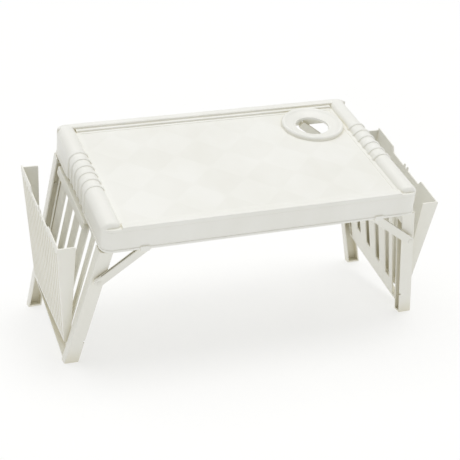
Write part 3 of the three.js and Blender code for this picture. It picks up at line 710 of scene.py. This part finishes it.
def along_frame(section, radii, k0, k1):
    """A section in (x, s) run along the frame from k0 to k1."""
    smooth = soften(section, radii)
    return loft([[(x, *frame_point(k, s)) for x, s in smooth] for k in (k0, k1)])


def top_bars():
    """A plate and inner flange over the whole frame, its full-width ends, and a ledge outside the panel."""
    outer, inner = FRAME_OUTER, FRAME_INNER
    plate = [
        (PANEL_OUTER, 0), (inner, 0), (inner, TOP_BAR), (inner + WALL, TOP_BAR), (inner + WALL, WALL),
        (PANEL_OUTER, WALL),
    ]
    ledge = [
        (outer, LEDGE_DROP), (outer, TOP_BAR), (outer - WALL, TOP_BAR), (outer - WALL, LEDGE_DROP + WALL),
        (1, LEDGE_DROP + WALL), (1, LEDGE_DROP),
    ]
    cap = [(outer, 0), (inner, 0), (inner, WALL), (outer, WALL)]
    end = POST_OUTER_K - 0.4
    return [
        along_frame(plate, [0.6, 2.2, 0.9, 0.9, 1.2, 0.6], -end, end),
        along_frame(ledge, [2.2, 0.9, 0.9, 1.2, 0, 0], LEDGE_FRONT_K, POST_INNER_K + 1),
        along_frame(cap, [2.2, 2.2, 0.5, 0.5], -end, -POST_INNER_K),
        along_frame(cap, [2.2, 2.2, 0.5, 0.5], POST_INNER_K, end),
    ]


def leg_mesh():
    outer, inner = FRAME_OUTER, FRAME_INNER
    a, b = POST_INNER_K, POST_OUTER_K
    front = [
        (inner, -b), (outer, -b), (outer, -a), (inner, -a), (inner, -a - WALL),
        (outer - WALL, -a - WALL), (outer - WALL, -b + WALL), (inner, -b + WALL),
    ]
    back = [
        (outer, a), (outer, b), (inner, b), (inner, a), (inner + WALL, a),
        (inner + WALL, b - WALL), (outer - WALL, b - WALL), (outer - WALL, a),
    ]
    panel = slanted_quad(-a - 1, a + 1, WALL / 2, PANEL_FOOT_FRONT, PANEL_FOOT_BACK)
    web = frame_quad(a, a + WALL, POCKET_DROP_BACK - PIN_WEB_HALF, POCKET_DROP_BACK + PIN_WEB_HALF)
    lip = slanted_quad(-a - 1, a + 1, 0, PANEL_FOOT_FRONT, PANEL_FOOT_BACK)
    lip_room = slanted_quad(-a - 20, a + 20, -20, PANEL_FOOT_FRONT, PANEL_FOOT_BACK, WALL)
    slots = []
    for i in range(SLOT_COUNT):
        k = SLOT_MIDDLE_K + (i - (SLOT_COUNT - 1) / 2) * SLOT_PITCH
        half = SLOT_WIDTH / 2
        quad = slanted_quad(k - half, k + half, SLOT_TOP, SLOT_FOOT_FRONT, SLOT_FOOT_BACK)
        slots.append(soften(quad, [5, 5, 4, 4], 6))
    body = [
        post(front, [0.9, 2.2, 2.2, 0.9, 0.9, 1.2, 1.2, 0.9]),
        post(back, [0.9, 2.2, 2.2, 0.9, 0.9, 1.2, 1.2, 0.9]),
        *top_bars(),
        slab(panel, 0, PANEL_OUTER, 0.9, slots, "YZ"),
        combine([
            ("UNION", slab(lip, 0.3, outer, 0.6, (), "YZ")),
            ("DIFFERENCE", slab(lip_room, -1, outer + 1, 0, (), "YZ")),
        ]),
        slab(web, 0, outer - 0.5, 0.4, (), "YZ"),
    ]
    cuts = []
    pivot = Vector((BRACE_PIVOT_X, 0, FRAME_TOP - BRACE_PIVOT_DROP))
    for end in (-1, 1):
        ear_foot = FRAME_TOP - 2
        ear = [(-LUG_RADIUS, ear_foot), (LUG_RADIUS, ear_foot), *arc(0, 0, LUG_RADIUS, 0, 180, 24)]
        low, high = sorted((end * EAR_FROM, end * EAR_TO))
        body.append(slab(ear, low, high, 0.5, (), "XZ"))
        across = Vector((0, end, 0))
        boss_start, boss_end = BRACE_NEAR - 0.35, BRACE_NEAR - 6
        body.append(rod(pivot + across * boss_start, pivot + across * boss_end, BRACE_BOSS_RADIUS))
        cuts.append(rod(pivot + across * (BRACE_NEAR + 1), pivot + across * (BRACE_NEAR - 12), RIVET_BORE))
        inboard = FLANGE_SLOT_FRONT_K if end < 0 else FLANGE_SLOT_BACK_K
        flange_slot = slanted_quad(
            inboard, end * a, FLANGE_SLOT_TOP, PANEL_FOOT_FRONT, PANEL_FOOT_BACK, 2 * WALL
        )
        cuts.append(slab(soften(flange_slot, 1.5), inner - 1, outer + 1, 0, (), "YZ"))
        cuts.append(rod(pocket_axis_point(end * (a - 6)), pocket_axis_point(end * (a + 7)), POCKET_BORE))
        cuts.append(rod(across * (EAR_FROM - 3), across * (EAR_TO + 3), HINGE_BORE))
    notch_from, notch_to = NOTCH_DROP - NOTCH_HEIGHT / 2, NOTCH_DROP + NOTCH_HEIGHT / 2
    notch = soften(frame_quad(-b - 1, -b + WALL + 1, notch_from, notch_to), 0.8)
    cuts.append(slab(notch, inner - 1, inner + NOTCH_DEPTH, 0, (), "YZ"))
    into_leg = Matrix.Scale(1 / MM, 4) @ LEG.inverted() @ Matrix.Scale(MM, 4)
    ground = block(-1000, 1000, -1000, 1000, -400, 0, 0, 1)
    ground.transform(into_leg)
    soles = []
    for low, high in ((-b, -a), (a, b)):
        layer = block(-1000, 1000, -1000, 1000, 0, SOLE, 0, 1)
        layer.transform(into_leg)
        filled = slab(frame_quad(low + 0.6, high - 0.6, 0, POST_RUN), inner + 0.6, outer - 0.6, 0, (), "YZ")
        soles.append(combine([("UNION", filled), ("INTERSECT", layer)]))
    return combine(joined(body) + cut(cuts) + cut([ground]) + joined(soles))


# ---- braces and pockets -------------------------------------------------------------------------
def brace_mesh():
    """The front right brace: pivot at the origin, running inboard, open along its upper edge."""
    r = BRACE_WIDTH / 2
    head = BRACE_LENGTH - 18
    tail = arc(0, 0, r, 90, 270, 20)
    corners = [(BRACE_LENGTH - 2, -r), (BRACE_LENGTH, 2 - r), (BRACE_LENGTH, r - 1.5), (BRACE_LENGTH - 3, r)]
    outline = [(-x, z) for x, z in tail + corners]
    arm = slab(outline, -BRACE_FAR, -BRACE_NEAR, 0.6, (), "XZ")
    trough = rounded_rectangle(-head + 2, -r - 3, -r + BRACE_WALL, r + 6, 1.5, 4)
    channel = slab(trough, -BRACE_FAR + BRACE_WALL, -BRACE_NEAR - BRACE_WALL, 0, (), "XZ")
    bore = rod((0, -150, 0), (0, -170, 0), RIVET_BORE)
    stud_ring = circle(-BRACE_LENGTH + STUD_BACK, 0, STUD_RADIUS, 32)
    stud = slab(stud_ring, -BRACE_FAR - STUD_HEIGHT, -BRACE_FAR + 1, 0.5, (), "XZ")
    webs = []
    for along in (28, 50, 72):
        outline = [
            (-along - 0.7, -r + 1), (-along + 0.7, -r + 1),
            (-along + 0.7, r - 2.4), (-along - 0.7, r - 2.4),
        ]
        webs.append(slab(outline, -BRACE_FAR + 1, -BRACE_NEAR - 1, 0, (), "XZ"))
    return combine(joined([arm, stud]) + cut([channel]) + joined(webs) + cut([bore]))


def pocket_mesh():
    near = POCKET_NEAR
    far = near + POCKET_THICK
    k = POCKET_K
    foot = POCKET_FOOT
    dip = POCKET_DIP
    nub = dip - 6
    shoulder = POCKET_DIP_HALF + 6
    upper_edge = [
        (-k, 0), (-shoulder, 0), (-POCKET_DIP_HALF, dip), (-9, dip), (-8, nub), (-4, nub), (-3, dip),
        (3, dip), (4, nub), (8, nub), (9, dip), (POCKET_DIP_HALF, dip), (shoulder, 0), (k, 0),
    ]
    corners = [frame_point(along, pocket_top(along) + below) for along, below in upper_edge]
    corners += [frame_point(k, pocket_drop(k) + foot), frame_point(-k, pocket_drop(-k) + foot)]
    radii = [3, 3, 5, 0.8, 0.8, 0.8, 0.8, 0.8, 0.8, 0.8, 0.8, 5, 3, 3, 2, 2]
    face = soften(corners, radii)
    body = [slab(face, near, far, 0.7, (), "YZ")]
    for i in range(POCKET_RIBS):
        middle = ((i + 0.5) / POCKET_RIBS - 0.5) * 2 * (k - 6)
        rib_top = pocket_top(middle) + dip + 6
        rib = soften([
            frame_point(middle - 1.7, rib_top), frame_point(middle + 1.7, rib_top),
            frame_point(middle + 1.7, pocket_drop(middle) - 4),
            frame_point(middle - 1.7, pocket_drop(middle) - 4),
        ], 1.5)
        body.append(slab(rib, far - 1.5, far + 1.3, 0.6, (), "YZ"))
    floor = [
        frame_point(-k + 0.3, pocket_drop(-k) + foot - POCKET_THICK),
        frame_point(k - 0.3, pocket_drop(k) + foot - POCKET_THICK),
        frame_point(k - 0.3, pocket_drop(k) + foot - 0.05),
        frame_point(-k + 0.3, pocket_drop(-k) + foot - 0.05),
    ]
    body.append(slab(floor, POCKET_AXIS_X - 3, far - 0.3, 0.6, (), "YZ"))
    cuts = []
    for end in (-1, 1):
        drop = pocket_drop(end * k)
        side = soften([
            (FRAME_INNER - 3, FRAME_TOP - FLANGE_TOP - 1.5), (far, FRAME_TOP - FLANGE_TOP + 1.5),
            (far, FRAME_TOP - drop - foot), (POCKET_AXIS_X - 3, FRAME_TOP - drop - foot),
        ], [3, 2, 1.5, 2])
        rings = []
        for at in (k - POCKET_THICK, k):
            rings.append([(x, frame_point(end * at, FRAME_TOP - z)[0], z) for x, z in side])
        body.append(loft(rings))
        hub_start, hub_end = pocket_axis_point(end * (k - 7)), pocket_axis_point(end * (k - 0.2))
        body.append(rod(hub_start, hub_end, POCKET_HUB_RADIUS))
        cuts.append(rod(pocket_axis_point(end * (k - 12)), pocket_axis_point(end * (k + 4)), POCKET_BORE))
    return combine(joined(body) + cut(cuts))


place_piece("tray_moulding", tray_mesh(), LEVEL, "tray", "tray", TRAY_PLASTIC)
place_pair("leg_moulding", leg_mesh(), LEG, "leg", "leg_frame", FRAME_PLASTIC)
front_brace = brace_mesh()
for brace, mesh in (("front_brace", front_brace), ("back_brace", mirrored_y(front_brace))):
    place_pair(f"{brace}_arm", mesh, BRACE, brace, brace, FRAME_PLASTIC)
place_pair("pocket_moulding", pocket_mesh(), POCKET, "pocket", "pocket", FRAME_PLASTIC)

# The pins and rivets keep their CAD shape and take a nylon finish.
for name, node in frame["nodes"].items():
    if name.endswith("_pin") or name.endswith("_rivet"):
        node.data.materials.clear()
        node.data.materials.append(PIN_NYLON)


# ---- floor, light and camera --------------------------------------------------------------------
def studio():
    floor_material = Nodes("pale_floor")
    where = floor_material.add("TexCoord").outputs["Object"]
    cloud = floor_material.add("TexNoise", {"Vector": where, "Scale": 1.3, "Detail": 2.0}).outputs["Fac"]
    tone = floor_material.mix(cloud, (0.35, 0.35, 0.347, 1), (0.37, 0.37, 0.367, 1))
    shader = floor_material.add("BsdfPrincipled", {"Base Color": tone, "Roughness": 0.9})
    shader.inputs["Emission Color"].default_value = (1.0, 1.0, 0.99, 1)
    shader.inputs["Emission Strength"].default_value = 0.62
    shader.inputs["Specular IOR Level"].default_value = 0.1
    floor_material.add("OutputMaterial", {"Surface": shader.outputs[0]})
    size = 60.0
    floor = bpy.data.objects.new("studio_floor", mesh_from(
        [(-size, -size, 0), (size, -size, 0), (size, size, 0), (-size, size, 0)], [(0, 1, 2, 3)]
    ))
    floor.data.materials.append(floor_material.material)
    floor.location.z = -0.0004
    bpy.context.scene.collection.objects.link(floor)

    world = bpy.data.worlds.new("studio")
    world.use_nodes = True
    world.node_tree.nodes["Background"].inputs["Color"].default_value = (1.0, 1.0, 1.0, 1)
    world.node_tree.nodes["Background"].inputs["Strength"].default_value = 0.56
    bpy.context.scene.world = world

    def soft_light(name, toward, strength, spread):
        data = bpy.data.lights.new(name, "SUN")
        data.energy = strength
        data.angle = math.radians(spread)
        lamp = bpy.data.objects.new(name, data)
        lamp.location = Vector(toward) * 3
        lamp.rotation_mode = "QUATERNION"
        lamp.rotation_quaternion = Vector(toward).to_track_quat("Z", "Y")
        bpy.context.scene.collection.objects.link(lamp)

    soft_light("key_light", (0.28, -0.06, 0.95), 0.76, 35)
    soft_light("top_light", (-0.16, 0.22, 0.96), 0.86, 60)


def photo_camera():
    azimuth, elevation, roll = math.radians(-19.99), math.radians(21.47), math.radians(0.363)
    target = Vector((0.0023, 0.0063, 0.1705))
    distance = 2.33
    focal_length = 100.97
    back = Vector((
        math.sin(azimuth) * math.cos(elevation),
        -math.cos(azimuth) * math.cos(elevation),
        math.sin(elevation),
    ))
    camera = bpy.data.objects.new("camera", bpy.data.cameras.new("camera"))
    camera.data.lens = focal_length
    camera.data.sensor_width = 36
    camera.location = target + back * distance
    camera.rotation_mode = "QUATERNION"
    camera.rotation_quaternion = (-back).to_track_quat("-Z", "Y") @ Quaternion((0, 0, 1), roll)
    bpy.context.scene.collection.objects.link(camera)
    bpy.context.scene.camera = camera


studio()
photo_camera()
bpy.context.scene.view_settings.view_transform = "Standard"
